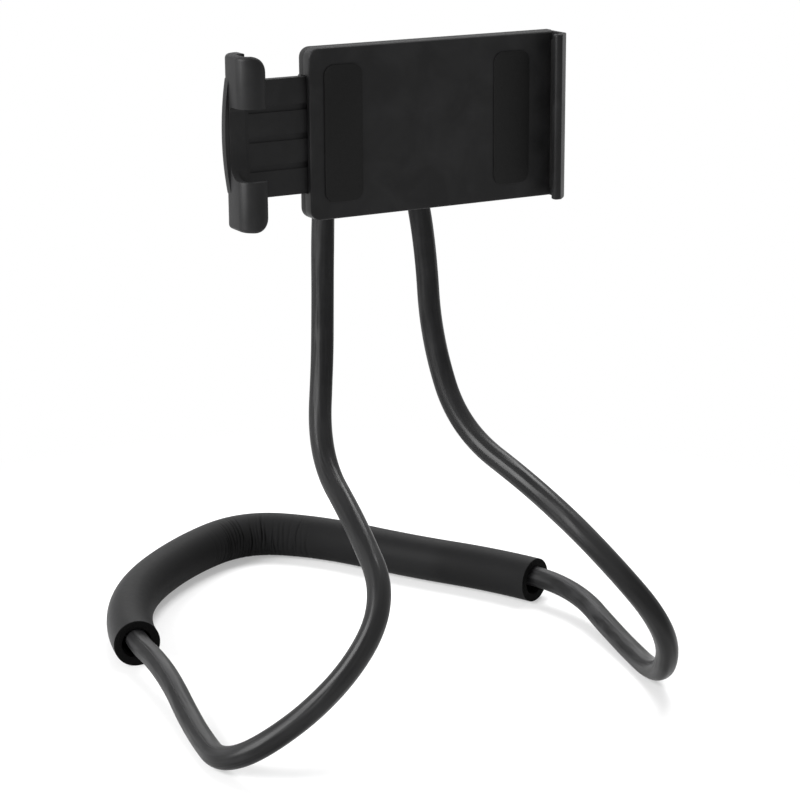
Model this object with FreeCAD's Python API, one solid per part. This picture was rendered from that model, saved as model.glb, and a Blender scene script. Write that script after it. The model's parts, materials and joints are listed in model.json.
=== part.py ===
import FreeCAD, Part

# Neck phone holder: a bendable rubber-covered tube with a foam neck pad, a ball head and a sprung wide clamp.
# Millimetres. X is to the right of someone facing the clamp, Y runs from its front to its back, Z is up.
# Pieces are drawn about the head: X = 0 at the pivot, Y = 0 on the clamp's front face, Z = 0 on the floor.

import math
import os

os.makedirs("parts", exist_ok=True)

# Tube, bent by hand, and the foam pad on it
TUBE_D = 9.2
PAD_D = 20.0
PAD_BORE_D = 13.2
PAD_START = 441.0
PAD_LENGTH = 307.0
PAD_CLEARANCE = 0.3
BEND_SHARE = 0.45
PIVOT_HEIGHT = 234.7

# Bridge that joins the two tube ends
SOCKET_SPACING = 41.0
SOCKET_DEPTH = 26.0
SOCKET_CLEARANCE = 0.05
BRIDGE_WALL_X = 3.9
BRIDGE_WALL_Y = 5.4
BRIDGE_HEIGHT = 32.0
BRIDGE_CORNER_R = 7.0
BRIDGE_EDGE_R = 1.6
BRIDGE_SCREW_D = 3.0
BRIDGE_SCREW_HEAD_D = 5.4
BRIDGE_SCREW_HEAD_T = 2.0
BRIDGE_SCREW_X = 11.5
BRIDGE_SCREW_EDGE = 5.0
BRIDGE_SCREW_GRIP = 6.0

# Ball head
BALL_D = 17.0
BALL_FLAT = 6.6
BALL_CLEARANCE = 0.05
STUD_NECK_D = 6.5
STUD_FLANGE_AF = 10.0
STUD_FLANGE_T = 2.0
STUD_SHANK_D = 5.8
NUT_AF = 9.0
NUT_T = 4.0
SHANK_CLEARANCE = 0.1
SEAT_ANGLE = 48.0
SEAT_WIDTH = 5.2
SEAT_T = 1.0
SEAT_CLEARANCE = 0.15
RETAINER_ANGLE = 58.0
RETAINER_FRONT = 2.8
RETAINER_BACK = 0.9
RETAINER_T = 5.4
RETAINER_MOUTH = 1.2
RETAINER_CLEARANCE = 0.05
COLLET_FLOOR = 0.6
COLLET_WALL = 2.0
RING_CLEARANCE = 0.2
RING_WALL = 3.7
RING_COVER = 5.0
RING_LIP_T = 1.6
RING_MOUTH_D = 18.6
RING_GRIPS = 20
RING_GRIP_R = 1.3
RING_GRIP_DEPTH = 0.8
RING_CHAMFER = 0.8
HEAD_SWING = 26.0
HEAD_GAP = 1.0

# Clamp body
CLAMP_HEIGHT = 65.0
PLATE_LEFT = 50.0
BODY_T = 10.0
FRONT_WALL = 2.4
REAR_WALL = 3.0
RIM_WALL = 2.4
MOUTH_T = 5.0
PARTING = 5.0
PLATE_CORNER_R = 4.0
BACK_EDGE_R = 2.0
FRONT_EDGE_R = 0.8
GRIP_LENGTH = 135.7
GRIP_OFFSET = -11.55
GRIP_DEPTH = 7.5
PAD_T = 0.8
FIXED_WALL = 2.6
FIXED_LIP = 4.0
LIP_T = 2.6
LIP_CHAMFER = 4.8
LIP_TIP_R = 1.6
HOOK_INNER_R = 2.0
BOSS_D = 5.2
SHELL_SCREW_D = 2.2
SHELL_SCREW_HEAD_D = 4.2
SHELL_SCREW_HEAD_T = 1.6
SCREW_CLEARANCE = 0.1
RIB_T = 2.0
RIB_H = 3.4
RIB_REACH = 17.0
REST_PAD_W = 16.0
REST_PAD_H = 52.0
REST_PAD_R = 4.0
REST_PAD_INSET = 6.0
PAD_MARGIN = 0.3
JAW_PAD_EDGE = 3.0

# Sliding jaw
SLIDE_CLEARANCE = 0.3
TONGUE_W = 44.0
TONGUE_TAIL = 20.0
TONGUE_GROOVES = 3
GROOVE_W = 2.4
GROOVE_DEPTH = 0.8
LUG_T = 4.0
LUG_STOP = 4.5
OPEN_TRAVEL = 30.0
JAW_WALL = 2.5
JAW_LIP = 6.8
JAW_FRONT_R = 6.3
CLAW_EDGE_R = 1.6
JAW_BACK_BLOCK = 3.7
JAW_BACK_T = 8.0
JAW_BACK_R = 5.5
UPPER_CLAW = 19.1
LOWER_CLAW = 19.0
NOTCH_DEPTH = 11.7
NOTCH_UPPER_R = 2.5
NOTCH_LOWER_R = 6.0
UPPER_CORNER_R = 6.0
LOWER_CORNER_R = 5.5
PULL_TOP = 23.5
PULL_BOTTOM = -19.0
PULL_BOW = 1.8
PULL_FRONT = 12.1
PULL_DEPTH = 5.0
PULL_BACK_R = 2.5
SPRING_D = 3.8
SPRING_WIRE = 0.7
SPRING_TURNS = 11
SPRING_SIDES = 8
SPRING_POST_D = 2.8

V = FreeCAD.Vector
RIGHT, BACK, UP = V(1, 0, 0), V(0, 1, 0), V(0, 0, 1)

# Places that follow from the sizes above
tube_r = TUBE_D / 2
half_h = CLAMP_HEIGHT / 2
plate_left = -PLATE_LEFT
fixed_in = GRIP_OFFSET + GRIP_LENGTH / 2 + PAD_T
fixed_out = fixed_in + FIXED_WALL
jaw_in = GRIP_OFFSET - GRIP_LENGTH / 2 - PAD_T
jaw_out = jaw_in - JAW_WALL
lip_in = -(PAD_T + GRIP_DEPTH)
lip_out = lip_in - LIP_T
cavity_back = BODY_T - REAR_WALL
cavity_left = plate_left + MOUTH_T
cavity_right = fixed_in - RIM_WALL
cavity_half = half_h - RIM_WALL
mouth_half = TONGUE_W / 2 + SLIDE_CLEARANCE
lug_left = cavity_left + LUG_STOP + OPEN_TRAVEL
spring_w = (mouth_half + cavity_half) / 2
spring_y = (FRONT_WALL + cavity_back) / 2
post_x = cavity_right - BOSS_D - SPRING_POST_D
ball_r = BALL_D / 2
seat_in = ball_r + BALL_CLEARANCE
seat_reach = math.hypot(seat_in + SEAT_T, SEAT_WIDTH / 2)
bore_r = seat_reach + SEAT_CLEARANCE
collet_r = bore_r + COLLET_WALL
ball_y = BODY_T + COLLET_FLOOR + bore_r
seat_tilt = math.radians(RETAINER_ANGLE)
retainer_front = seat_in * math.cos(seat_tilt) - RETAINER_FRONT * math.sin(seat_tilt)
collet_end = retainer_front + RETAINER_T
ring_r = collet_r + RING_CLEARANCE + RING_WALL
ring_end = collet_end + RING_CLEARANCE + RING_LIP_T
swing = math.radians(HEAD_SWING)
bridge_front = ball_y + ring_end * math.cos(swing) + ring_r * math.sin(swing) + HEAD_GAP
bridge_half_t = tube_r + BRIDGE_WALL_Y
tube_y = bridge_front + bridge_half_t
bridge_half_w = SOCKET_SPACING / 2 + tube_r + BRIDGE_WALL_X
bridge_low = PIVOT_HEIGHT - BRIDGE_HEIGHT / 2
tube_top = bridge_low + SOCKET_DEPTH
pad_drop = PAD_BORE_D / 2 - tube_r - PAD_CLEARANCE
pad_tube_z = PAD_D / 2 + pad_drop
pivot = V(0, ball_y, PIVOT_HEIGHT)


def block(x, y, w):
    """A box between two places on each axis, with its heights measured from the pivot."""
    size = V(x[1] - x[0], y[1] - y[0], w[1] - w[0])
    return Part.makeBox(size.x, size.y, size.z, V(x[0], y[0], PIVOT_HEIGHT + w[0]))


def rod(start, direction, diameter, length):
    return Part.makeCylinder(diameter / 2, length, start, direction)


def prism(corners, along):
    """A straight-sided solid from a closed outline, pushed along a vector."""
    return Part.Face(Part.makePolygon(corners + corners[:1])).extrude(along)


def hexagon(centre, flats, length):
    """A hexagonal prism that runs backwards from its centre point."""
    corners = []
    for i in range(6):
        turn = math.radians(60 * i)
        corners.append(centre + V(math.cos(turn), 0, math.sin(turn)) * (flats / math.sqrt(3)))
    return prism(corners, BACK * length)


def turned(outline):
    """A solid of revolution about the head's axis, from (radius, place behind the ball's centre) corners."""
    points = [pivot + V(r, t, 0) for r, t in outline]
    return Part.Face(Part.makePolygon(points + points[:1])).revolve(pivot, BACK, 360)


def edges_along(shape, direction, test):
    """The straight edges along one axis whose middle passes a test on its place from the pivot."""
    found = []
    for edge in shape.Edges:
        if edge.Curve.TypeId != "Part::GeomLine":
            continue
        if abs(edge.tangentAt(edge.FirstParameter).dot(direction)) < 0.999:
            continue
        middle = edge.valueAt((edge.FirstParameter + edge.LastParameter) / 2)
        if test(middle.x, middle.y, middle.z - PIVOT_HEIGHT):
            found.append(edge)
    return found


def near(a, b):
    return abs(a - b) < 0.01


# The tube's bends, from the left socket down the left arm, round the neck and up to the right socket
socket_x = SOCKET_SPACING / 2
straight_end = bridge_low - 11.5
neck_route = [
    V(-socket_x, tube_y, tube_top),
    V(-socket_x, tube_y, straight_end),
    V(-21.7, 46.4, 178.5),
    V(-25.6, 40, 140),
    V(-39, 19, 103),
    V(-42.5, -18.3, 86.5),
    V(-49, -57.3, 66.5),
    V(-74.3, -58, 34.3),
    V(-108.6, -37, tube_r),
    V(-103.1, 3.6, tube_r),
    V(-94.3, 51, pad_tube_z),
    V(-92, 96.5, pad_tube_z),
    V(-70.6, 142.7, pad_tube_z),
    V(-30.6, 178.2, pad_tube_z),
    V(10.4, 195.7, pad_tube_z),
    V(40.7, 169.6, pad_tube_z),
    V(62.7, 126, pad_tube_z),
    V(87.8, 88.4, pad_tube_z),
    V(104, 49, pad_tube_z),
    V(95.6, 1.2, tube_r),
    V(84.4, -47, tube_r),
    V(74.3, -65.5, 33.7),
    V(51.5, -54.2, 65.7),
    V(40.6, -17, 86.7),
    V(27.4, 20.6, 103.5),
    V(24.3, 38.7, 139),
    V(25.5, 45.2, 177.5),
    V(socket_x, tube_y, straight_end),
    V(socket_x, tube_y, tube_top),
]


def rounded_path(points):
    """Straight runs joined by tangent arcs, each arc as large as its two runs allow."""
    edges, radii, last = [], [], points[0]
    for before, corner, after in zip(points, points[1:], points[2:]):
        come, go = corner - before, after - corner
        reach = BEND_SHARE * min(come.Length, go.Length)
        come.normalize()
        go.normalize()
        half_turn = come.getAngle(go) / 2
        radius = reach / math.tan(half_turn)
        start, end = corner - come * reach, corner + go * reach
        inward = go - come
        inward.normalize()
        middle = corner + inward * (radius / math.cos(half_turn) - radius)
        edges += [Part.LineSegment(last, start).toShape(), Part.Arc(start, middle, end).toShape()]
        radii.append(radius)
        last = end
    edges.append(Part.LineSegment(last, points[-1]).toShape())
    return edges, radii


def stretch(edges, start, length):
    """The part of a path between two distances along it."""
    kept, passed = [], 0.0
    for edge in edges:
        low, high = max(start - passed, 0.0), min(start + length - passed, edge.Length)
        if high - low > 0.001:
            first, last = edge.getParameterByLength(low), edge.getParameterByLength(high)
            kept.append(Part.Edge(edge.Curve, first, last))
        passed += edge.Length
    return kept


def swept(edges, diameter):
    """A round bar along a path."""
    first = edges[0]
    start = first.valueAt(first.FirstParameter)
    ring = Part.Wire(Part.Circle(start, first.tangentAt(first.FirstParameter), diameter / 2).toShape())
    bar = Part.Wire(edges).makePipeShell([ring], True, False)
    length = sum(edge.Length for edge in edges)
    print("bar", diameter, "length", round(length, 1), "volume ratio",
          round(bar.Volume / (math.pi * diameter ** 2 / 4 * length), 5))
    return bar


def neck_tube_and_pad():
    """The hose in one piece, and the foam sleeve, which hangs with the hose against the top of its bore."""
    edges, radii = rounded_path(neck_route)
    print("bend radii", [round(r, 1) for r in radii])
    sleeve = []
    for edge in stretch(edges, PAD_START, PAD_LENGTH):
        edge.translate(V(0, 0, -pad_drop))
        sleeve.append(edge)
    return swept(edges, TUBE_D), swept(sleeve, PAD_D).cut(swept(sleeve, PAD_BORE_D))


def bridge_screw_places():
    rise = BRIDGE_HEIGHT / 2 - BRIDGE_SCREW_EDGE
    return [V(x, bridge_front + 2 * bridge_half_t, PIVOT_HEIGHT + w)
            for x in (-BRIDGE_SCREW_X, BRIDGE_SCREW_X) for w in (-rise, rise)]


def bridge_halves():
    """Two moulded halves that close round the tube ends, split through the tubes' axes."""
    rise = BRIDGE_HEIGHT / 2
    depth = (bridge_front, bridge_front + 2 * bridge_half_t)
    body = block((-bridge_half_w, bridge_half_w), depth, (-rise, rise))
    body = body.makeFillet(BRIDGE_CORNER_R, edges_along(body, UP, lambda x, y, w: True))
    ends = [e for e in body.Edges if near(e.BoundBox.ZLength, 0)]
    body = body.makeFillet(BRIDGE_EDGE_R, ends)
    for side in (-1, 1):
        mouth = V(side * SOCKET_SPACING / 2, tube_y, bridge_low)
        body = body.cut(rod(mouth, UP, TUBE_D + 2 * SOCKET_CLEARANCE, SOCKET_DEPTH))
    stud_hole = rod(V(0, bridge_front, PIVOT_HEIGHT), BACK, STUD_SHANK_D + 2 * SHANK_CLEARANCE, bridge_half_t)
    pocket = hexagon(V(0, tube_y - NUT_T, PIVOT_HEIGHT), NUT_AF + 2 * SHANK_CLEARANCE, NUT_T)
    body = body.cut(stud_hole).cut(pocket)
    for place in bridge_screw_places():
        head = BRIDGE_SCREW_HEAD_T + SHANK_CLEARANCE
        shank = bridge_half_t + BRIDGE_SCREW_GRIP
        body = body.cut(rod(place, -BACK, BRIDGE_SCREW_HEAD_D + 2 * SHANK_CLEARANCE, head))
        body = body.cut(rod(place, -BACK, BRIDGE_SCREW_D + 2 * SHANK_CLEARANCE, shank))
    split = block((-bridge_half_w, bridge_half_w), (bridge_front, tube_y), (-rise, rise))
    return body.common(split), body.cut(split)


def bridge_screws():
    """Four pan-head screws from behind, which pull the bridge's halves together."""
    screws = []
    for place in bridge_screw_places():
        seat = place - BACK * SHANK_CLEARANCE
        head = rod(seat, -BACK, BRIDGE_SCREW_HEAD_D, BRIDGE_SCREW_HEAD_T)
        slot = Part.makeBox(BRIDGE_SCREW_HEAD_D, 0.9, 0.9, seat + V(-BRIDGE_SCREW_HEAD_D / 2, -0.9, -0.45))
        shank = rod(seat, -BACK, BRIDGE_SCREW_D, bridge_half_t + BRIDGE_SCREW_GRIP - 2 * SHANK_CLEARANCE)
        screws.append(head.fuse(shank).cut(slot))
    return Part.makeCompound(screws)


def ball_stud():
    """A steel ball with a flat nose, a neck, a hexagonal flange on the bridge and a shank into it."""
    nose = block((-BALL_D, BALL_D), (ball_y - BALL_D, ball_y - BALL_FLAT), (-BALL_D, BALL_D))
    ball = Part.makeSphere(ball_r, pivot, BACK).cut(nose)
    flange_y = bridge_front - STUD_FLANGE_T
    neck = rod(pivot, BACK, STUD_NECK_D, flange_y - ball_y)
    flange = hexagon(V(0, flange_y, PIVOT_HEIGHT), STUD_FLANGE_AF, STUD_FLANGE_T)
    shank = rod(V(0, bridge_front, PIVOT_HEIGHT), BACK, STUD_SHANK_D, bridge_half_t)
    return ball.fuse([neck, flange, shank]).removeSplitter()


def stud_nut():
    """A hexagonal nut in a pocket of the bridge's front half, closed in by the rear half."""
    nut = hexagon(V(0, tube_y - NUT_T, PIVOT_HEIGHT), NUT_AF, NUT_T)
    return nut.cut(rod(V(0, tube_y - NUT_T, PIVOT_HEIGHT), BACK, STUD_SHANK_D + 2 * SHANK_CLEARANCE, NUT_T))


def ball_seat():
    """A nylon cup ring in front of the ball, with a conical seat that touches it along one circle."""
    lean = math.radians(SEAT_ANGLE)
    out, along = V(math.sin(lean), -math.cos(lean)), V(math.cos(lean), math.sin(lean))
    corners = []
    for radius, side in ((seat_in, -1), (seat_in, 1), (seat_in + SEAT_T, 1), (seat_in + SEAT_T, -1)):
        place = out * radius + along * (side * SEAT_WIDTH / 2)
        corners.append((place.x, place.y))
    return turned(corners)


def seat_ring():
    """A nylon ring that the lock ring presses on the back of the ball, flared so that the stud can swing."""
    on_ball = V(math.sin(seat_tilt), math.cos(seat_tilt)) * seat_in
    back = V(-math.cos(seat_tilt), math.sin(seat_tilt))
    front_edge, back_edge = on_ball - back * RETAINER_FRONT, on_ball + back * RETAINER_BACK
    rim = bore_r - RETAINER_CLEARANCE
    return turned([(front_edge.x, front_edge.y), (back_edge.x, back_edge.y),
                   (rim - RETAINER_MOUTH, collet_end), (rim, collet_end), (rim, front_edge.y)])


def lock_ring():
    """A ring nut round the collet with a scalloped grip and a rear lip that presses the seat ring."""
    start = -RING_COVER
    bore = collet_r + RING_CLEARANCE
    lip = ring_end - RING_LIP_T
    cut = RING_CHAMFER
    mouth = RING_MOUTH_D / 2
    ring = turned([(bore, start), (ring_r - cut, start), (ring_r, start + cut), (ring_r, ring_end - cut),
                   (ring_r - cut, ring_end), (mouth, ring_end), (mouth, lip), (bore, lip)])
    grips = []
    for i in range(RING_GRIPS):
        turn = 2 * math.pi * i / RING_GRIPS
        away = ring_r + RING_GRIP_R - RING_GRIP_DEPTH
        foot = pivot + V(away * math.cos(turn), start, away * math.sin(turn))
        grips.append(rod(foot, BACK, 2 * RING_GRIP_R, ring_end - start))
    return ring.cut(grips)


def shell_screw_places():
    left, right = cavity_left - BOSS_D / 8, cavity_right - BOSS_D / 4
    rise = cavity_half - BOSS_D / 4
    return [(x, w) for x in (left, right) for w in (-rise, rise)]


def shell(depth, hollow):
    """One half of the clamp's plate: a tray with a rim, a mouth on the left and four screw bosses."""
    tray = block((plate_left, fixed_out), depth, (-half_h, half_h))
    corners = edges_along(tray, BACK, lambda x, y, w: near(x, plate_left))
    tray = tray.makeFillet(PLATE_CORNER_R, corners)
    room = block((cavity_left, cavity_right), hollow, (-cavity_half, cavity_half))
    mouth = block((plate_left, cavity_left), hollow, (-mouth_half, mouth_half))
    tray = tray.cut(room).cut(mouth)
    for x, w in shell_screw_places():
        boss = rod(V(x, hollow[0], PIVOT_HEIGHT + w), BACK, BOSS_D, hollow[1] - hollow[0])
        tray = tray.fuse(boss)
    return tray.removeSplitter()


def clamp_front_shell():
    """The plate's front half with the fixed jaw: a full-height wall and a short lip with a chamfered edge."""
    tray = shell((0, PARTING), (FRONT_WALL, PARTING))
    tip = fixed_in - PAD_T - FIXED_LIP
    hook = [V(tip, lip_out), V(fixed_out - LIP_CHAMFER, lip_out), V(fixed_out, lip_out + LIP_CHAMFER),
            V(fixed_out, 0), V(fixed_in, 0), V(fixed_in, lip_in), V(tip, lip_in)]
    foot = UP * (PIVOT_HEIGHT - half_h)
    hook = prism([p + foot for p in hook], UP * CLAMP_HEIGHT)
    root = edges_along(hook, UP, lambda x, y, w: near(x, fixed_in) and near(y, lip_in))
    hook = hook.makeFillet(HOOK_INNER_R, root)
    nose = edges_along(hook, UP, lambda x, y, w: near(x, tip) and near(y, lip_out))
    hook = hook.makeFillet(LIP_TIP_R, nose)
    tray = tray.fuse(hook).removeSplitter()
    rim = edges_along(tray, RIGHT, lambda x, y, w: near(y, 0) and near(abs(w), half_h))
    rim += edges_along(tray, UP, lambda x, y, w: near(y, 0) and near(x, plate_left))
    tray = tray.makeFillet(FRONT_EDGE_R, rim)
    ends = edges_along(tray, RIGHT, lambda x, y, w: near(y, lip_out) and near(abs(w), half_h))
    ends += edges_along(tray, BACK, lambda x, y, w: near(x, fixed_out) and near(abs(w), half_h))
    tray = tray.makeFillet(FRONT_EDGE_R, ends)
    for x, w in shell_screw_places():
        start = V(x, PARTING, PIVOT_HEIGHT + w)
        pilot = PARTING - FRONT_WALL / 2
        tray = tray.cut(rod(start, -BACK, SHELL_SCREW_D + 2 * SCREW_CLEARANCE, pilot))
    return tray


def clamp_rear_shell():
    """The plate's rear half with the ball's collet, four ribs round it, and posts for the springs."""
    tray = shell((PARTING, BODY_T), (PARTING, cavity_back))
    rim = [e for e in tray.Edges if near(e.BoundBox.YMin, BODY_T) and near(e.BoundBox.YLength, 0)]
    tray = tray.makeFillet(BACK_EDGE_R, rim)
    base = V(0, BODY_T, PIVOT_HEIGHT)
    collet = rod(base, BACK, 2 * collet_r, ball_y + collet_end - BODY_T)
    for turn in (0, 90, 180, 270):
        reach = collet_r + RIB_REACH
        side = [(0, -REAR_WALL / 2), (reach, -REAR_WALL / 2), (reach, 0), (collet_r, RIB_H), (0, RIB_H)]
        rib = prism([base + V(x, y, -RIB_T / 2) for x, y in side], UP * RIB_T)
        rib.rotate(base, BACK, turn)
        tray = tray.fuse(rib)
    tray = tray.fuse(collet)
    tray = tray.cut(rod(V(0, ball_y - bore_r, PIVOT_HEIGHT), BACK, 2 * bore_r, bore_r + collet_end))
    for x, w in shell_screw_places():
        start = V(x, BODY_T, PIVOT_HEIGHT + w)
        tray = tray.cut(rod(start, -BACK, SHELL_SCREW_D + 2 * SCREW_CLEARANCE, BODY_T - PARTING))
        tray = tray.cut(rod(start, -BACK, SHELL_SCREW_HEAD_D + 2 * SCREW_CLEARANCE, SHELL_SCREW_HEAD_T))
    for side in (-1, 1):
        post = V(post_x, FRONT_WALL + SCREW_CLEARANCE, PIVOT_HEIGHT + side * spring_w)
        tray = tray.fuse(rod(post, BACK, SPRING_POST_D, cavity_back - FRONT_WALL))
    return tray.removeSplitter()


def shell_screws():
    """Four countersunk screws that hold the plate's halves together from behind."""
    screws = []
    for x, w in shell_screw_places():
        top = V(x, BODY_T, PIVOT_HEIGHT + w)
        head = rod(top, -BACK, SHELL_SCREW_HEAD_D, SHELL_SCREW_HEAD_T)
        length = BODY_T - FRONT_WALL - SCREW_CLEARANCE
        slot = Part.makeBox(SHELL_SCREW_HEAD_D, 0.7, 0.7, top + V(-SHELL_SCREW_HEAD_D / 2, -0.7, -0.35))
        screws.append(head.fuse(rod(top, -BACK, SHELL_SCREW_D, length)).cut(slot))
    return Part.makeCompound(screws)


def rest_pad(centre_x):
    """A rubber pad with rounded corners on the front of the plate."""
    half = REST_PAD_W / 2
    pad = block((centre_x - half, centre_x + half), (-PAD_T, 0), (-REST_PAD_H / 2, REST_PAD_H / 2))
    return pad.makeFillet(REST_PAD_R, edges_along(pad, BACK, lambda x, y, w: True))


def jaw_pad(x, w):
    """A rubber strip on a jaw's inner wall."""
    strip = block(x, (lip_in + HOOK_INNER_R + PAD_MARGIN, -PAD_MARGIN), w)
    outer = edges_along(strip, RIGHT, lambda x, y, w: True)
    return strip.makeFillet(PAD_T, outer)


def notch():
    """The gap between the claws, cut from the front into the side wall, with one tight and one wide corner."""
    low, high = -half_h + LOWER_CLAW, half_h - UPPER_CLAW
    bottom = lip_out + NOTCH_DEPTH
    gap = block((jaw_out - PULL_BOW - 1, jaw_in + JAW_LIP + PAD_T + 1), (lip_out - 1, bottom), (low, high))
    upper = edges_along(gap, RIGHT, lambda x, y, w: near(y, bottom) and near(w, high))
    gap = gap.makeFillet(NOTCH_UPPER_R, upper)
    lower = edges_along(gap, RIGHT, lambda x, y, w: near(y, bottom) and near(w, low))
    return gap.makeFillet(NOTCH_LOWER_R, lower)


def finger_pull():
    """A bowed ridge down the outside of the jaw's wall, drawn as a flat circle segment and pushed back."""
    front = lip_out + PULL_FRONT
    top = V(jaw_out, front, PIVOT_HEIGHT + PULL_TOP)
    bottom = V(jaw_out, front, PIVOT_HEIGHT + PULL_BOTTOM)
    crown = V(jaw_out - PULL_BOW, front, PIVOT_HEIGHT + (PULL_TOP + PULL_BOTTOM) / 2)
    inside = RIGHT * JAW_WALL
    edges = [Part.Arc(top, crown, bottom).toShape()]
    corners = [bottom, bottom + inside, top + inside, top]
    edges += [Part.LineSegment(a, b).toShape() for a, b in zip(corners, corners[1:])]
    ridge = Part.Face(Part.Wire(edges)).extrude(BACK * PULL_DEPTH)
    back = front + PULL_DEPTH
    bowed = [e for e in ridge.Edges if e.Curve.TypeId == "Part::GeomCircle" and near(e.BoundBox.YMin, back)]
    return ridge.makeFillet(PULL_BACK_R, bowed)


def sliding_jaw():
    """The moving jaw in one moulding: two hooked claws, a side wall with a finger pull, and a flat tongue."""
    tip = jaw_in + PAD_T + JAW_LIP
    inner = jaw_in + JAW_BACK_BLOCK
    foot = UP * (PIVOT_HEIGHT - half_h)
    outline = [V(tip, lip_out), V(jaw_out, lip_out), V(jaw_out, JAW_BACK_T), V(inner, JAW_BACK_T),
               V(inner, 0), V(jaw_in, 0), V(jaw_in, lip_in), V(tip, lip_in)]
    hook = prism([p + foot for p in outline], UP * CLAMP_HEIGHT)
    crown_x, crown_y = jaw_out + JAW_FRONT_R, lip_out + JAW_FRONT_R
    crown = rod(V(crown_x, crown_y) + foot, UP, 2 * JAW_FRONT_R, CLAMP_HEIGHT)
    hook = hook.common(crown.fuse(block((jaw_out, tip), (crown_y, JAW_BACK_T), (-half_h, half_h)))).removeSplitter()
    nose = crown_y - math.sqrt(JAW_FRONT_R ** 2 - (tip - crown_x) ** 2)
    rounds = [
        (HOOK_INNER_R, UP, lambda x, y, w: near(x, jaw_in) and near(y, lip_in)),
        (JAW_BACK_R, UP, lambda x, y, w: near(x, jaw_out) and near(y, JAW_BACK_T)),
        (UPPER_CORNER_R, BACK, lambda x, y, w: near(x, tip) and near(w, half_h)),
        (LOWER_CORNER_R, BACK, lambda x, y, w: near(x, tip) and near(w, -half_h)),
        (CLAW_EDGE_R, UP, lambda x, y, w: near(x, tip) and near(y, nose)),
    ]
    for radius, direction, test in rounds:
        hook = hook.makeFillet(radius, edges_along(hook, direction, test))
    hook = hook.cut(notch()).fuse(finger_pull())
    tail = lug_left + LUG_T + TONGUE_TAIL
    thick = (FRONT_WALL + SLIDE_CLEARANCE, cavity_back - SLIDE_CLEARANCE)
    tongue = block((jaw_in, tail), thick, (-TONGUE_W / 2, TONGUE_W / 2))
    wide = cavity_half - SLIDE_CLEARANCE
    lugs = block((lug_left, lug_left + LUG_T), thick, (-wide, wide))
    tongue = tongue.fuse(lugs)
    for i in range(TONGUE_GROOVES):
        w = TONGUE_W * ((i + 1) / (TONGUE_GROOVES + 1) - 0.5)
        groove = block((inner + GROOVE_W, tail - GROOVE_W), (thick[0], thick[0] + GROOVE_DEPTH),
                       (w - GROOVE_W / 2, w + GROOVE_W / 2))
        tongue = tongue.cut(groove)
    return hook.fuse(tongue).removeSplitter()


def jaw_spring(side):
    """A tension spring of square wire between the tongue's lug and its post, wound as flat facets."""
    start = lug_left + LUG_T + SLIDE_CLEARANCE
    length = post_x - SPRING_POST_D / 2 - SLIDE_CLEARANCE - start
    steps = SPRING_TURNS * SPRING_SIDES
    body = length - SPRING_WIRE
    rings = []
    for i in range(steps + 1):
        turn = 2 * math.pi * i / SPRING_SIDES
        x = start + body * i / steps
        out = V(0, math.cos(turn), math.sin(turn))
        centre = V(x, spring_y, PIVOT_HEIGHT + side * spring_w)
        near_r, far_r = SPRING_D / 2 - SPRING_WIRE, SPRING_D / 2
        rings.append([centre + out * near_r, centre + out * far_r, centre + out * far_r + RIGHT * SPRING_WIRE,
                      centre + out * near_r + RIGHT * SPRING_WIRE])
    faces = [Part.Face(Part.makePolygon(end + end[:1])) for end in (rings[0], rings[-1])]
    for here, there in zip(rings, rings[1:]):
        for k in range(4):
            a, b, c, d = here[k], here[(k + 1) % 4], there[(k + 1) % 4], there[k]
            for corners in ((a, b, c), (a, c, d)):
                faces.append(Part.Face(Part.makePolygon(list(corners) + [corners[0]])))
    solid = Part.Solid(Part.makeShell(faces))
    return solid if solid.Volume > 0 else solid.reversed()


tube, pad = neck_tube_and_pad()
front_half, rear_half = bridge_halves()
claw_low, claw_high = -half_h + LOWER_CLAW, half_h - UPPER_CLAW
strip = (jaw_in, jaw_in + PAD_T)
left_rest = plate_left + REST_PAD_INSET + REST_PAD_W / 2
right_rest = fixed_in - PAD_T - FIXED_LIP - REST_PAD_INSET - REST_PAD_W / 2

pieces = {
    "neck_tube": tube,
    "neck_pad": pad,
    "bridge_front": front_half,
    "bridge_rear": rear_half,
    "bridge_screws": bridge_screws(),
    "ball_stud": ball_stud(),
    "stud_nut": stud_nut(),
    "ball_seat": ball_seat(),
    "seat_ring": seat_ring(),
    "lock_ring": lock_ring(),
    "clamp_front_shell": clamp_front_shell(),
    "clamp_rear_shell": clamp_rear_shell(),
    "shell_screws": shell_screws(),
    "left_rest_pad": rest_pad(left_rest),
    "right_rest_pad": rest_pad(right_rest),
    "fixed_jaw_pad": jaw_pad((fixed_in - PAD_T, fixed_in), (-half_h + JAW_PAD_EDGE, half_h - JAW_PAD_EDGE)),
    "sliding_jaw": sliding_jaw(),
    "upper_claw_pad": jaw_pad(strip, (claw_high + JAW_PAD_EDGE / 2, half_h - JAW_PAD_EDGE)),
    "lower_claw_pad": jaw_pad(strip, (-half_h + JAW_PAD_EDGE, claw_low - JAW_PAD_EDGE / 2)),
    "upper_jaw_spring": jaw_spring(1),
    "lower_jaw_spring": jaw_spring(-1),
}

# The origin goes to the middle of the floor under the whole object
extent = Part.makeCompound(list(pieces.values())).optimalBoundingBox(False)
shift = V(-(extent.XMin + extent.XMax) / 2, -(extent.YMin + extent.YMax) / 2, -extent.ZMin)
for name, piece in pieces.items():
    piece.translate(shift)
    kinds = (len(piece.Solids), piece.isValid(), round(piece.Volume, 1))
    print(name, kinds)
    piece.exportStep("parts/" + name + ".step")

print("size", [round(s, 2) for s in (extent.XLength, extent.YLength, extent.ZLength)])
print("shift", [round(s, 4) for s in shift])
print("pivot", [round(s, 4) for s in pivot + shift])
print("rest pad face", [round(s, 4) for s in V(right_rest, -PAD_T, PIVOT_HEIGHT) + shift])
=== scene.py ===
import json
import math
import random

import bpy
from mathutils import Euler, Matrix, Vector, noise

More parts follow.
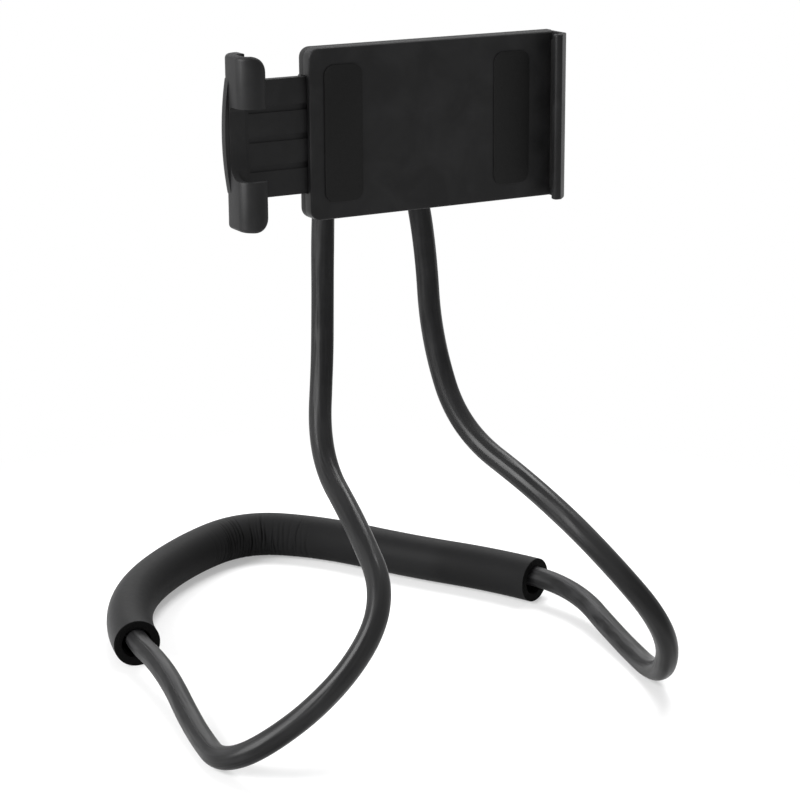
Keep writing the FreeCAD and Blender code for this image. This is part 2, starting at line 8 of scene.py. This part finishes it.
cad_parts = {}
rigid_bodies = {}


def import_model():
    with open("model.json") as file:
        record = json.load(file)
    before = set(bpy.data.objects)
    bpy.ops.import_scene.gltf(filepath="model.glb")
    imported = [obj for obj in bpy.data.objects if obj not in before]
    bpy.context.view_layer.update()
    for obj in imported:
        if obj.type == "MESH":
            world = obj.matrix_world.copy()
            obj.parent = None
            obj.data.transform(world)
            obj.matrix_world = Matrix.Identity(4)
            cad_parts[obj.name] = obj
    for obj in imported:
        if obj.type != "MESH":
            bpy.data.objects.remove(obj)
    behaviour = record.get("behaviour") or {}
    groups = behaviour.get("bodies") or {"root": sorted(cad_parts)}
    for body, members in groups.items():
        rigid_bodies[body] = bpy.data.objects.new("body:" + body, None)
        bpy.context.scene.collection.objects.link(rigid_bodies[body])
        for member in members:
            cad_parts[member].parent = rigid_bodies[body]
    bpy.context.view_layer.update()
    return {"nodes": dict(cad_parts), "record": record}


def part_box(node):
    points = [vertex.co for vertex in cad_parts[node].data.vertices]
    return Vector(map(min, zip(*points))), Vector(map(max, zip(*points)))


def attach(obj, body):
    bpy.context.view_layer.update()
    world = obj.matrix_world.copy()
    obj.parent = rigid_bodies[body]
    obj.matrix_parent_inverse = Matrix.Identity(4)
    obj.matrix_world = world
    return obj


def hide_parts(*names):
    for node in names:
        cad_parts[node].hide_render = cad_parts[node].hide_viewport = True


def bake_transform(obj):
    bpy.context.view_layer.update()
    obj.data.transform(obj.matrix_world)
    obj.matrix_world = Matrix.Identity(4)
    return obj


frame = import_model()

# Camera. A short telephoto a little above the clamp and to its left, as in the photograph. Its place is
# given from the ball's centre, where the three joints of the head meet.
LENS = 104.5
SENSOR = 36.0
FROM_HEAD = Vector((-0.44245, -0.79058, 0.13899))
LOOK_DOWN = 15.635
LOOK_RIGHT = 29.196
ROLL = 0.328
head = Vector(frame["record"]["behaviour"]["joints"][0]["pos_m"])
lens = bpy.data.cameras.new("photo_camera")
lens.sensor_width = SENSOR
lens.lens = LENS
camera = bpy.data.objects.new("photo_camera", lens)
bpy.context.scene.collection.objects.link(camera)
look = Euler((math.radians(90 - LOOK_DOWN), 0, math.radians(-LOOK_RIGHT))).to_matrix().to_4x4()
roll = Matrix.Rotation(math.radians(-ROLL), 4, "Z")
camera.matrix_world = Matrix.Translation(head + FROM_HEAD) @ look @ roll
bpy.context.scene.camera = camera

# Hose. A soft black rubber sleeve drawn over a bendable metal core, bent by hand from the left socket of
# the bridge down the left arm, round the back of the neck and up to the right socket.
HOSE_RADIUS = 0.0046
HOSE_SIDES = 48
HOSE_STEPS = 30
UNEVEN = 0.00016
UNEVEN_ALONG = 42
UNEVEN_ROUND = 0.9
SOCKET_X = 0.0205
STRAIGHT_END = 0.0115
PAD_RADIUS = 0.010
PAD_BORE = 0.0066
PAD_CLEARANCE = 0.0003
plate_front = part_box("left_rest_pad")[1].y
socket_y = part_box("bridge_front")[1].y - plate_front
arm_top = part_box("neck_tube")[1].z
arm_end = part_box("bridge_front")[0].z - STRAIGHT_END
pad_hang = PAD_BORE - HOSE_RADIUS - PAD_CLEARANCE
pad_level = PAD_RADIUS + pad_hang
hose_route = [
    (-SOCKET_X, socket_y, arm_top),
    (-SOCKET_X, socket_y, arm_end),
    (-0.0217, 0.0464, 0.1785),
    (-0.0256, 0.040, 0.140),
    (-0.039, 0.019, 0.103),
    (-0.0425, -0.0183, 0.0865),
    (-0.049, -0.0573, 0.0665),
    (-0.0743, -0.058, 0.0343),
    (-0.1086, -0.037, HOSE_RADIUS),
    (-0.1031, 0.0036, HOSE_RADIUS),
    (-0.0943, 0.051, pad_level),
    (-0.092, 0.0965, pad_level),
    (-0.0706, 0.1427, pad_level),
    (-0.0306, 0.1782, pad_level),
    (0.0104, 0.1957, pad_level),
    (0.0407, 0.1696, pad_level),
    (0.0627, 0.126, pad_level),
    (0.0878, 0.0884, pad_level),
    (0.104, 0.049, pad_level),
    (0.0956, 0.0012, HOSE_RADIUS),
    (0.0844, -0.047, HOSE_RADIUS),
    (0.0743, -0.0655, 0.0337),
    (0.0515, -0.0542, 0.0657),
    (0.0406, -0.017, 0.0867),
    (0.0274, 0.0206, 0.1035),
    (0.0243, 0.0387, 0.139),
    (0.0255, 0.0452, 0.1775),
    (SOCKET_X, socket_y, arm_end),
    (SOCKET_X, socket_y, arm_top),
]


def only(obj):
    """Selects one object and nothing else."""
    for other in bpy.context.view_layer.objects:
        other.select_set(False)
    obj.select_set(True)
    bpy.context.view_layer.objects.active = obj


def spline_object(name, kind, points, steps):
    """A curve object of one open spline: NURBS bends past its points, POLY runs through them."""
    curve = bpy.data.curves.new(name, "CURVE")
    curve.dimensions = "3D"
    curve.resolution_u = steps
    spline = curve.splines.new(kind)
    spline.points.add(len(points) - 1)
    for place, point in zip(spline.points, points):
        place.co = (*point, 1.0)
    if kind == "NURBS":
        spline.order_u = 3
        spline.use_endpoint_u = True
    obj = bpy.data.objects.new(name, curve)
    bpy.context.scene.collection.objects.link(obj)
    return obj


def tube_mesh(obj, radius, sides, capped):
    """Turns a curve object into a round mesh tube, with a ring of corners for each point of its line."""
    obj.data.bevel_depth = radius
    obj.data.fill_mode = "FULL"
    obj.data.bevel_resolution = sides // 2 - 2
    obj.data.use_fill_caps = capped
    only(obj)
    bpy.ops.object.convert(target="MESH")
    bpy.ops.object.shade_smooth()
    return bpy.context.object


def along_the_hose(obj, sides, places):
    """Stores on each corner of a tube its distance along the line, in metres, and its turn round it, as
    a share of a whole turn."""
    along = obj.data.attributes.new("along", "FLOAT", "POINT")
    round_it = obj.data.attributes.new("round", "FLOAT", "POINT")
    for i, place in enumerate(places):
        for k in range(sides):
            along.data[i * sides + k].value = place
            round_it.data[i * sides + k].value = k / sides


class Field:
    """A shader socket that takes part in Python arithmetic and can add any other node to its tree."""

    def __init__(self, tree, socket=None):
        self.tree = tree
        self.socket = socket

    def add(self, kind, settings=None, sockets=None, out=0):
        node = self.tree.nodes.new("ShaderNode" + kind)
        for key, value in (settings or {}).items():
            setattr(node, key, value)
        for key, value in (sockets or {}).items():
            if isinstance(value, Field):
                self.tree.links.new(value.socket, node.inputs[key])
            else:
                node.inputs[key].default_value = value
        return Field(self.tree, node.outputs[out])

    def maths(self, operation, a, b):
        return self.add("Math", {"operation": operation}, {0: a, 1: b})

    def __add__(self, other):
        return self.maths("ADD", self, other)

    def __radd__(self, other):
        return self.maths("ADD", other, self)

    def __sub__(self, other):
        return self.maths("SUBTRACT", self, other)

    def __rsub__(self, other):
        return self.maths("SUBTRACT", other, self)

    def __mul__(self, other):
        return self.maths("MULTIPLY", self, other)

    def __rmul__(self, other):
        return self.maths("MULTIPLY", other, self)

    def __pow__(self, other):
        return self.maths("POWER", self, other)


def new_finish(name):
    """A new material: its tree as a Field, and its shader."""
    material = bpy.data.materials.new(name)
    material.use_nodes = True
    shader = material.node_tree.nodes["Principled BSDF"]
    return material, Field(material.node_tree), shader


def wire(field, shader, **sockets):
    """Links fields to the shader's sockets, or sets plain numbers on them."""
    for key, value in sockets.items():
        socket = shader.inputs[key.replace("_", " ").title().replace("Ior", "IOR")]
        if isinstance(value, Field):
            field.tree.links.new(value.socket, socket)
        else:
            socket.default_value = value


def on_the_piece(field):
    """A point's place on its piece."""
    return field.add("TexCoord", out="Object")


def marked(field, name):
    """A number that is stored on the mesh."""
    return field.add("Attribute", {"attribute_name": name}, out="Fac")


def mottling(place, scale, detail, roughness=0.5, distortion=0.0):
    """Soft random patches, about 0 to 1."""
    return place.add("TexNoise", sockets={"Vector": place, "Scale": scale, "Detail": detail,
                                          "Roughness": roughness, "Distortion": distortion})


def spread(value, low, high, first=0.0, last=1.0, curve="LINEAR"):
    """Stretches a range of a field to another range, held at both ends."""
    return value.add("MapRange", {"interpolation_type": curve},
                     {"Value": value, 1: low, 2: high, 3: first, 4: last})


def eased(value, low, high, first, last):
    """A spread with a soft start and end."""
    return spread(value, low, high, first, last, "SMOOTHSTEP")


def relief(height, strength, distance, below=None):
    """A bumpy surface, on top of another one if that is given."""
    sockets = {"Height": height, "Strength": strength, "Distance": distance}
    if below:
        sockets["Normal"] = below
    return height.add("Bump", sockets=sockets)


def tint(field, dark, pale, amount):
    """A colour between two greys or hues."""
    return field.add("Mix", {"data_type": "RGBA"}, {"Factor": amount, 6: (*dark, 1), 7: (*pale, 1)}, 2)


def rubber_hose():
    """Semi-matte rubber. Long shallow dents and drawn ripples break the highlight. Below the clean upper
    arms the crests of the ripples are painted paler as a painted sheen, and the bends that hands hold
    have a glossier coat in patches."""
    clean = (0.008, 0.008, 0.0083)
    # the paler grey serves the random mottle and the painted sheen on the ripple crests
    pale_and_crest_sheen = (0.028, 0.028, 0.0288)
    material, f, shader = new_finish("rubber_hose")
    place = on_the_piece(f)
    along = marked(f, "along")
    turn = marked(f, "round") * (2 * math.pi)
    side = f.maths("COSINE", turn, 0)
    front = f.maths("SINE", turn, 0)
    slow = f.add("CombineXYZ", sockets={0: along * 24, 1: side, 2: front})
    quick = f.add("CombineXYZ", sockets={0: along * 60, 1: 1.8 * side, 2: 1.8 * front})
    dents = mottling(slow, 1.0, 2.0, 0.45)
    ripples = mottling(quick, 1.0, 1.0, 0.4)
    pores = mottling(place, 2600.0, 2.0)
    mottle = spread(mottling(place, 120.0, 4.0), 0.35, 0.75)
    crests = spread(ripples, 0.48, 0.72)
    patches = spread(dents, 0.36, 0.60, 0.1, 1.0)
    # the crests of the ripples below the upper arms are painted paler here: a painted sheen
    crest_sheen = crests * eased(along, 0.08, 0.24, 0.2, 1.0) * eased(along, 0.93, 1.09, 1.0, 0.2)
    left_bend = eased(along, 0.10, 0.17, 0.0, 1.0) * eased(along, 0.28, 0.34, 1.0, 0.0)
    right_bend = eased(along, 0.83, 0.89, 0.0, 1.0) * eased(along, 1.00, 1.07, 1.0, 0.0)
    polish = left_bend + right_bend
    # random mottle plus the painted sheen on the crests, held back where the coat is glossier
    paleness = (0.25 * mottle + 0.75 * crest_sheen) * (1 - 0.9 * polish)
    dented = relief(dents, 0.5, 0.0024)
    rippled = relief(ripples, 0.4, 0.0007, dented)
    porous = relief(pores, 0.12, 0.00008, rippled)
    wire(f, shader, base_color=tint(f, clean, pale_and_crest_sheen, paleness), normal=porous, specular_ior_level=0.10,
         roughness=0.27 + 0.25 * ripples + 0.05 * mottle,
         coat_weight=0.26 * polish * patches, coat_roughness=0.20)
    return material


origin = Vector((head.x, plate_front, 0.0))
route_line = spline_object("neck_route", "NURBS", [Vector(p) + origin for p in hose_route], HOSE_STEPS)
evaluated = route_line.evaluated_get(bpy.context.evaluated_depsgraph_get())
line_mesh = bpy.data.meshes.new_from_object(evaluated)
line = [v.co.copy() for v in line_mesh.vertices]
bpy.data.meshes.remove(line_mesh)
reach = [0.0]
for a, b in zip(line, line[1:]):
    reach.append(reach[-1] + (b - a).length)
route_line.name = "hose"
hose = tube_mesh(route_line, HOSE_RADIUS, HOSE_SIDES, True)
for i, distance in enumerate(reach):
    for k in range(HOSE_SIDES):
        corner = hose.data.vertices[i * HOSE_SIDES + k]
        out = (corner.co - line[i]).normalized()
        swell = noise.noise(Vector((distance * UNEVEN_ALONG, 0, 0)) + out * UNEVEN_ROUND)
        corner.co += out * UNEVEN * swell
along_the_hose(hose, HOSE_SIDES, reach)
hose.data.materials.append(rubber_hose())
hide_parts("neck_tube")
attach(hose, "neck_frame")

# Neck pad. A sleeve of soft black closed-cell foam, cut square at both ends and slid over the hose, which
# lies against the top of its wider bore. Where the loop turns most sharply, at the back of the neck, the
# foam swells a little and gathers into fine creases on the inside of the bend.
PAD_SIDES = 64
PAD_START = 0.4395
PAD_LENGTH = 0.3068
PLAIN_STEP = 0.0011
CREASED_STEP = 0.0003
LAST_STEP = 0.0012
CREASED = (0.118, 0.196)
CREASED_MARGIN = 0.006
CREASE_SEED = 7
CREASE_SPACING = (0.0012, 0.0030)
CREASE_DEPTH = 0.0011
CREASE_REACH = 0.0035
CREASE_WAVE = 0.00025
WAVE_TURNS = 5
DEEPEST = 1.2
INSIDE_SOFTNESS = 0.6
SWELLING = 0.0006
SWELL_MIDDLE = 0.150
SWELL_WIDTH = 0.032
SWELL_FLOOR = 0.75
BEND_REACH = 0.012
CREASING_BEND = 0.0038
SHINING_BEND = 0.0022
STRAIGHT = 1e-7
CUT_EDGE = 0.0004
CUT_REACH = 0.013
CUT_SQUARE = 0.8
CUT_ANGLE = math.radians(60)
FOAM_ANGLE = math.radians(50)


def point_at(distance):
    """A point on the hose's line at a distance from its start."""
    i = max(k for k in range(len(reach) - 1) if reach[k] <= distance)
    share = (distance - reach[i]) / (reach[i + 1] - reach[i])
    return line[i].lerp(line[i + 1], share)


def foam():
    """Matte foam with fine closed cells. The outer side of each bend is painted paler as a painted sheen,
    the ridges between its folds as painted highlights, and its creases darker as painted shade; the
    squeezed side is rougher."""
    shaded = (0.004, 0.004, 0.0041)
    # the pale end serves the random mottle, the painted sheen and the painted highlights
    pale_and_sheen_grey = (0.027, 0.027, 0.0277)
    material, f, shader = new_finish("neck_foam")
    place = on_the_piece(f)
    along = marked(f, "along")
    squeeze = marked(f, "squeeze")
    stretch = marked(f, "stretch")
    crease = marked(f, "crease")
    cells = f.add("TexVoronoi", {"feature": "SMOOTH_F1"}, {"Vector": place, "Scale": 1700.0})
    skin = mottling(place, 420.0, 5.0, 0.6)
    cloud = mottling(place, 28.0, 3.0)
    lines = f.add("CombineXYZ", sockets={0: along * 900, 1: 0.0, 2: 0.0})
    fold = mottling(lines, 1.0, 3.0, 0.65)
    folded = relief(fold * squeeze ** 3, 0.8, 0.0008)
    skinned = relief(skin, 0.25, 0.00022, folded)
    celled = relief(cells, 0.22, 0.00012, skinned)
    mottle = cloud * 0.6 + skin * 0.4
    # random mottle, painted sheen on the outer side of the bends, painted highlights on the fold ridges
    # and painted shade in the creases
    paleness = 0.10 + 0.25 * mottle + 0.9 * stretch + 0.3 * fold * squeeze - 0.5 * crease
    wire(f, shader, base_color=tint(f, shaded, pale_and_sheen_grey, spread(paleness, 0.0, 1.3)), normal=celled,
         roughness=0.46 + 0.12 * skin + 0.3 * squeeze - 0.16 * stretch, specular_ior_level=0.045,
         sheen_weight=0.004, sheen_roughness=0.5)
    return material


def cut_foam():
    """The open cells of a knife cut, coloured darker than the foam's sides as painted shade."""
    cut_shade_black = (0.0018, 0.0018, 0.0018)
    edge = (0.004, 0.004, 0.004)
    material, f, shader = new_finish("cut_foam")
    cells = f.add("TexVoronoi", sockets={"Vector": on_the_piece(f), "Scale": 1500.0})
    wire(f, shader, base_color=tint(f, cut_shade_black, edge, cells), roughness=0.85 + 0.1 * cells,
         normal=relief(cells, 0.6, 0.0003), specular_ior_level=0.06)
    return material


places = [0.0]
while places[-1] < PAD_LENGTH - LAST_STEP:
    inside = CREASED[0] < places[-1] < CREASED[1]
    places.append(places[-1] + (CREASED_STEP if inside else PLAIN_STEP))
places.append(PAD_LENGTH)
pad_line = [point_at(PAD_START + d) - Vector((0, 0, pad_hang)) for d in places]
pad = tube_mesh(spline_object("neck_foam_pad", "POLY", pad_line, 1), PAD_RADIUS, PAD_SIDES, False)
along_the_hose(pad, PAD_SIDES, places)
states = ("squeeze", "stretch", "crease")
for state in states:
    pad.data.attributes.new(state, "FLOAT", "POINT")
squeeze, stretch, crease = [pad.data.attributes[state].data for state in states]
rng = random.Random(CREASE_SEED)
creases = []
place = CREASED[0] + CREASED_MARGIN
while place < CREASED[1] - CREASED_MARGIN:
    creases.append({
        "place": place,
        "width": rng.uniform(0.0003, 0.00065),
        "depth": rng.uniform(0.25, 1.0),
        "slant": rng.uniform(-0.0009, 0.0009),
        "wave": rng.uniform(0, 6.3),
        "height": rng.uniform(-0.5, 0.5),
        "span": rng.uniform(0.5, 1.2),
    })
    place += rng.uniform(*CREASE_SPACING)
for i, distance in enumerate(places):
    before = point_at(PAD_START + distance - BEND_REACH)
    after = point_at(PAD_START + distance + BEND_REACH)
    inward = before + after - 2 * point_at(PAD_START + distance)
    bend = min(inward.length / CREASING_BEND, 1.0)
    curl = min(inward.length / SHINING_BEND, 1.0)
    inward = inward.normalized() if inward.length > STRAIGHT else Vector()
    swell = SWELLING * math.exp(-((distance - SWELL_MIDDLE) / SWELL_WIDTH) ** 2)
    near = [c for c in creases if abs(c["place"] - distance) < CREASE_REACH]
    for k in range(PAD_SIDES):
        n = i * PAD_SIDES + k
        out = (pad.data.vertices[n].co - pad_line[i]).normalized()
        inside = max(out.dot(inward), 0.0) ** INSIDE_SOFTNESS * bend
        # squeeze and stretch mark the inner and outer side of the bends; the foam paints the outer side
        # paler, a painted sheen
        squeeze[n].value = max(out.dot(inward), 0.0) * curl
        stretch[n].value = max(-out.dot(inward), 0.0) * curl
        dent = 0.0
        for c in near:
            shift = c["slant"] * out.z + CREASE_WAVE * math.sin(WAVE_TURNS * out.z + c["wave"])
            fade = math.exp(-((out.z - c["height"]) / c["span"]) ** 2)
            dent += c["depth"] * fade * math.exp(-((distance - c["place"] - shift) / c["width"]) ** 2)
        rise = swell * min(max(out.z + SWELL_FLOOR, 0.0), 1.0)
        # crease holds each crease's depth, which the foam paints darker as painted shade
        crease[n].value = inside * min(dent, 1.0)
        pad.data.vertices[n].co += out * (rise - CREASE_DEPTH * inside * min(dent, DEEPEST))
wall = pad.modifiers.new("wall", "SOLIDIFY")
wall.thickness = PAD_RADIUS - PAD_BORE
wall.offset = -1
only(pad)
bpy.ops.object.modifier_apply(modifier="wall")
rim = pad.modifiers.new("cut_edge", "BEVEL")
rim.width = CUT_EDGE
rim.segments = 2
rim.limit_method = "ANGLE"
rim.angle_limit = CUT_ANGLE
bpy.ops.object.modifier_apply(modifier="cut_edge")
bpy.ops.object.shade_smooth_by_angle(angle=FOAM_ANGLE)
pad.data.materials.append(foam())
pad.data.materials.append(cut_foam())
# the cut end faces take the darker cut foam: painted shade
cuts = [(pad_line[0], pad_line[1] - pad_line[0]), (pad_line[-1], pad_line[-1] - pad_line[-2])]
for face in pad.data.polygons:
    for middle, direction in cuts:
        square = abs(face.normal.dot(direction.normalized())) > CUT_SQUARE
        if square and (face.center - middle).length < CUT_REACH:
            face.material_index = 1
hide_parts("neck_pad")
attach(pad, "neck_frame")

# Bridge. Two halves moulded in black plastic close round the ends of the hose, split through its axes and
# pulled together from behind by four dark screws.
BRIDGE_EDGE = 0.0004
MERGED = 0.000002
FLAT_ANGLE = math.radians(0.4)
EDGE_ANGLE = math.radians(32)
UPWARD_SLOPE = 2.5
UPWARD_START = 1.5


def moulded_plastic():
    """Satin black plastic with a fine sparked texture, cloudy where it is handled and rubbed along its
    edges.
    Faces that lie upward are duller with dust and paler as painted light from above."""
    clean = (0.008, 0.008, 0.0083)
    pale = (0.024, 0.024, 0.0247)
    material, f, shader = new_finish("moulded_black_plastic")
    place = on_the_piece(f)
    spark = mottling(place, 2300.0, 3.0, 0.7)
    flow = mottling(place, 60.0, 4.0, distortion=0.6)
    handled = spread(flow, 0.38, 0.70)
    rubbed = marked(f, "rubbed") * (0.3 + handled)
    dust_and_top_light = marked(f, "dust_and_top_light")
    # upward faces turn paler: dust, and painted light from above
    paleness = spread(handled + 1.4 * rubbed + 2.0 * dust_and_top_light * flow, 0.0, 2.4)
    wire(f, shader, base_color=tint(f, clean, pale, paleness), normal=relief(spark, 0.2, 0.00012),
         roughness=0.40 + 0.08 * handled + 0.04 * spark - 0.08 * rubbed + 0.46 * dust_and_top_light,
         specular_ior_level=0.15)
    return material


def softened(node, material, width, segments=3):
    """A copy of a CAD node that stands for it, with rounded edges. The rounded faces are marked as
    rubbed, and those that lie upward are marked for dust and painted top light."""
    copy = bpy.data.objects.new(node + "_moulding", frame["nodes"][node].data.copy())
    bpy.context.scene.collection.objects.link(copy)
    copy.matrix_world = Matrix.Identity(4)
    only(copy)
    bpy.ops.object.mode_set(mode="EDIT")
    bpy.ops.mesh.select_all(action="SELECT")
    bpy.ops.mesh.customdata_custom_splitnormals_clear()
    bpy.ops.mesh.remove_doubles(threshold=MERGED)
    bpy.ops.mesh.dissolve_limited(angle_limit=FLAT_ANGLE)
    bpy.ops.object.mode_set(mode="OBJECT")
    # the second slot tells the rounded faces apart, and goes once they are marked
    copy.data.materials.clear()
    copy.data.materials.append(material)
    copy.data.materials.append(material)
    for face in copy.data.polygons:
        face.material_index = 0
    edge = copy.modifiers.new("edge", "BEVEL")
    edge.width = width
    edge.segments = segments
    edge.limit_method = "ANGLE"
    edge.angle_limit = EDGE_ANGLE
    edge.use_clamp_overlap = True
    edge.material = 1
    bpy.ops.object.modifier_apply(modifier="edge")
    bpy.ops.object.shade_smooth_by_angle(angle=EDGE_ANGLE)
    marks = ("rubbed", "dust_and_top_light")
    for mark in marks:
        copy.data.attributes.new(mark, "FLOAT", "FACE")
    rubbed, dust_and_top_light = [copy.data.attributes[mark].data for mark in marks]
    for face in copy.data.polygons:
        rubbed[face.index].value = face.material_index
        # upward faces are marked for dust and for painted light from above
        dust_and_top_light[face.index].value = min(max(UPWARD_SLOPE * face.normal.z - UPWARD_START, 0.0), 1.0)
        face.material_index = 0
    copy.data.materials.pop(index=1)
    bodies = frame["record"]["behaviour"]["bodies"]
    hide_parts(node)
    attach(copy, next(body for body, nodes in bodies.items() if node in nodes))


def dark_screw_steel():
    """Black-zinc screw steel, rubbed a little brighter in patches."""
    black_zinc = (0.055, 0.055, 0.058)
    bare = (0.16, 0.16, 0.165)
    material, f, shader = new_finish("dark_screw_steel")
    paleness = mottling(on_the_piece(f), 900.0, 4.0)
    wire(f, shader, base_color=tint(f, black_zinc, bare, spread(paleness, 0.45, 0.7)),
         roughness=0.34 + 0.16 * paleness, metallic=0.9)
    return material


def paint(node, material):
    """Gives a CAD node its finish."""
    obj = frame["nodes"][node]
    obj.data.materials.clear()
    obj.data.materials.append(material)


plastic = moulded_plastic()
screw_steel = dark_screw_steel()
for half in ("bridge_front", "bridge_rear"):
    softened(half, plastic, BRIDGE_EDGE)
paint("bridge_screws", screw_steel)

# Ball head. A plated steel ball with a neck and a hexagonal flange, held by a nut in the bridge, turns
# between two rings of natural nylon, and a scalloped plastic ring nut presses them together.
RING_EDGE = 0.0003


def plated_steel():
    """Bright plating, faintly clouded."""
    dim = (0.50, 0.50, 0.51)
    bright = (0.66, 0.66, 0.67)
    material, f, shader = new_finish("plated_steel")
    from_ball = f.add("Mapping", sockets={"Vector": on_the_piece(f), "Location": tuple(-head)})
    cloud = mottling(from_ball, 700.0, 3.0)
    wire(f, shader, base_color=tint(f, dim, bright, cloud), roughness=0.16 + 0.14 * cloud, metallic=1.0)
    return material


def natural_nylon():
    """Milky natural nylon, faintly mottled."""
    yellowed = (0.66, 0.63, 0.55)
    milky = (0.78, 0.76, 0.70)
    material, f, shader = new_finish("natural_nylon")
    milk = mottling(on_the_piece(f), 300.0, 4.0)
    wire(f, shader, base_color=tint(f, yellowed, milky, milk), roughness=0.42 + 0.15 * milk)
    return material


bright_steel = plated_steel()
nylon = natural_nylon()
paint("ball_stud", bright_steel)
paint("stud_nut", bright_steel)
paint("ball_seat", nylon)
paint("seat_ring", nylon)
softened("lock_ring", plastic, RING_EDGE, 2)

# Clamp plate. Two black plastic shells screwed together from behind: the front one carries the fixed jaw,
# the rear one the collet of the ball head and four low ribs.
FRONT_SHELL_EDGE = 0.0006
REAR_SHELL_EDGE = 0.0005
softened("clamp_front_shell", plastic, FRONT_SHELL_EDGE)
softened("clamp_rear_shell", plastic, REAR_SHELL_EDGE)
paint("shell_screws", screw_steel)

# Grip pads. Thin soft rubber, die-cut and glued to the face of the plate and to the inner walls of the
# jaws.
GRIP_EDGE = 0.00025


def grip_rubber():
    """Dead-matte rubber with a fine pebble."""
    black = (0.005, 0.005, 0.005)
    dusted = (0.009, 0.009, 0.009)
    material, f, shader = new_finish("grip_rubber")
    place = on_the_piece(f)
    pebble = f.add("TexVoronoi", {"feature": "SMOOTH_F1"}, {"Vector": place, "Scale": 1100.0})
    dust = mottling(place, 90.0, 5.0)
    wire(f, shader, base_color=tint(f, black, dusted, dust), roughness=0.66 + 0.15 * dust,
         normal=relief(pebble, 0.3, 0.00015), specular_ior_level=0.16)
    return material


soft_rubber = grip_rubber()
for strip in ("left_rest_pad", "right_rest_pad", "fixed_jaw_pad", "upper_claw_pad", "lower_claw_pad"):
    softened(strip, soft_rubber, GRIP_EDGE, 2)

# Sliding jaw. One moulding in black plastic: two hooked claws, a side wall with a bowed finger pull, and
# a flat grooved tongue that slides between the plate's shells.
JAW_EDGE = 0.0005
softened("sliding_jaw", plastic, JAW_EDGE)

# Jaw springs. Two tension springs of plain drawn wire lie inside the plate, above and below the tongue.
# Each runs from a lug of the jaw to a post of the rear shell, and in the clamp it stretches and closes
# with the jaw; here each is drawn as a fixed coil.
SPRING_WIRE = 0.0007
SPRING_TURNS = 11
TURN_STEPS = 24
WIRE_SIDES = 12


def spring_wire():
    """Plain drawn wire with a trace of oil."""
    oiled = (0.34, 0.34, 0.34)
    dry = (0.48, 0.48, 0.49)
    material, f, shader = new_finish("spring_wire")
    oil = mottling(on_the_piece(f), 500.0, 2.0)
    wire(f, shader, base_color=tint(f, oiled, dry, oil), roughness=0.25 + 0.2 * oil, metallic=1.0)
    return material


coil_steel = spring_wire()
for node in ("upper_jaw_spring", "lower_jaw_spring"):
    low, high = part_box(node)
    centre = (low + high) / 2
    radius = (high.z - low.z - SPRING_WIRE) / 2
    steps = SPRING_TURNS * TURN_STEPS
    coil = []
    for i in range(steps + 1):
        turn = 2 * math.pi * i / TURN_STEPS
        x = low.x + SPRING_WIRE / 2 + (high.x - low.x - SPRING_WIRE) * i / steps
        coil.append((x, centre.y + radius * math.cos(turn), centre.z + radius * math.sin(turn)))
    spring = tube_mesh(spline_object(node + "_coil", "POLY", coil, 1), SPRING_WIRE / 2, WIRE_SIDES, True)
    spring.data.materials.append(coil_steel)
    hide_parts(node)
    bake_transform(spring)

# Studio. A pale floor that turns to plain white away from the object, an even white surround, and three
# soft boxes: a large one on the left, a broad one behind the loop and one high on the right.
FLOOR_SIZE = 8.0
FLOOR_WHITE = 0.35
SURROUND_LIGHT = 0.30
MIDDLE = (0, 0, 0.12)


def looked_at(field):
    """1 for what the camera sees straight, in a mirror or through a clear piece, 0 for other light."""
    seen = field.add("LightPath", out="Is Camera Ray")
    mirrored = field.add("LightPath", out="Is Glossy Ray")
    through = field.add("LightPath", out="Is Transmission Ray")
    return field.maths("MAXIMUM", seen, field.maths("MAXIMUM", mirrored, through))


def studio_paper():
    """Matte white paper that turns to plain white further from the object."""
    material, f, shader = new_finish("studio_paper")
    place = on_the_piece(f)
    away = f.add("VectorMath", {"operation": "LENGTH"}, {0: place}, "Value")
    shown = looked_at(f) * (FLOOR_WHITE + (1 - FLOOR_WHITE) * eased(away, 0.17, 0.33, 0.0, 1.0))
    fibre = mottling(place, 300.0, 3.0)
    wire(f, shader, base_color=tint(f, (0.93, 0.93, 0.93), (0.96, 0.96, 0.96), fibre), roughness=0.95,
         specular_ior_level=0.0)
    paper = Field(f.tree, shader.outputs["BSDF"])
    white = f.add("Emission", sockets={"Color": (1, 1, 1, 1), "Strength": 1.0})
    mixed = f.add("MixShader", sockets={0: shown, 1: paper, 2: white})
    f.tree.links.new(mixed.socket, f.tree.nodes["Material Output"].inputs["Surface"])
    return material


def soft_box(name, place, width, height, power):
    """A rectangular lamp that looks at the object's middle."""
    lamp = bpy.data.lights.new(name, "AREA")
    lamp.shape = "RECTANGLE"
    lamp.size = width
    lamp.size_y = height
    lamp.energy = power
    obj = bpy.data.objects.new(name, lamp)
    obj.location = place
    obj.rotation_euler = (Vector(MIDDLE) - Vector(place)).to_track_quat("-Z", "Y").to_euler()
    bpy.context.scene.collection.objects.link(obj)


bpy.ops.mesh.primitive_plane_add(size=FLOOR_SIZE)
floor = bpy.context.object
floor.name = "studio_floor"
floor.data.materials.append(studio_paper())
soft_box("side", (-1.28, 0.0, 0.66), 0.85, 1.2, 36)
soft_box("back", (0.5, 1.3, 1.0), 1.0, 0.9, 8)
soft_box("overhead", (0.6, 0.5, 1.4), 0.8, 0.8, 22)
world = bpy.data.worlds.new("white_surround")
world.use_nodes = True
bpy.context.scene.world = world
surround = Field(world.node_tree)
background = world.node_tree.nodes["Background"]
background.inputs["Color"].default_value = (1, 1, 1, 1)
level = SURROUND_LIGHT + (1 - SURROUND_LIGHT) * looked_at(surround)
world.node_tree.links.new(level.socket, background.inputs["Strength"])
bpy.context.scene.view_settings.view_transform = "Standard"
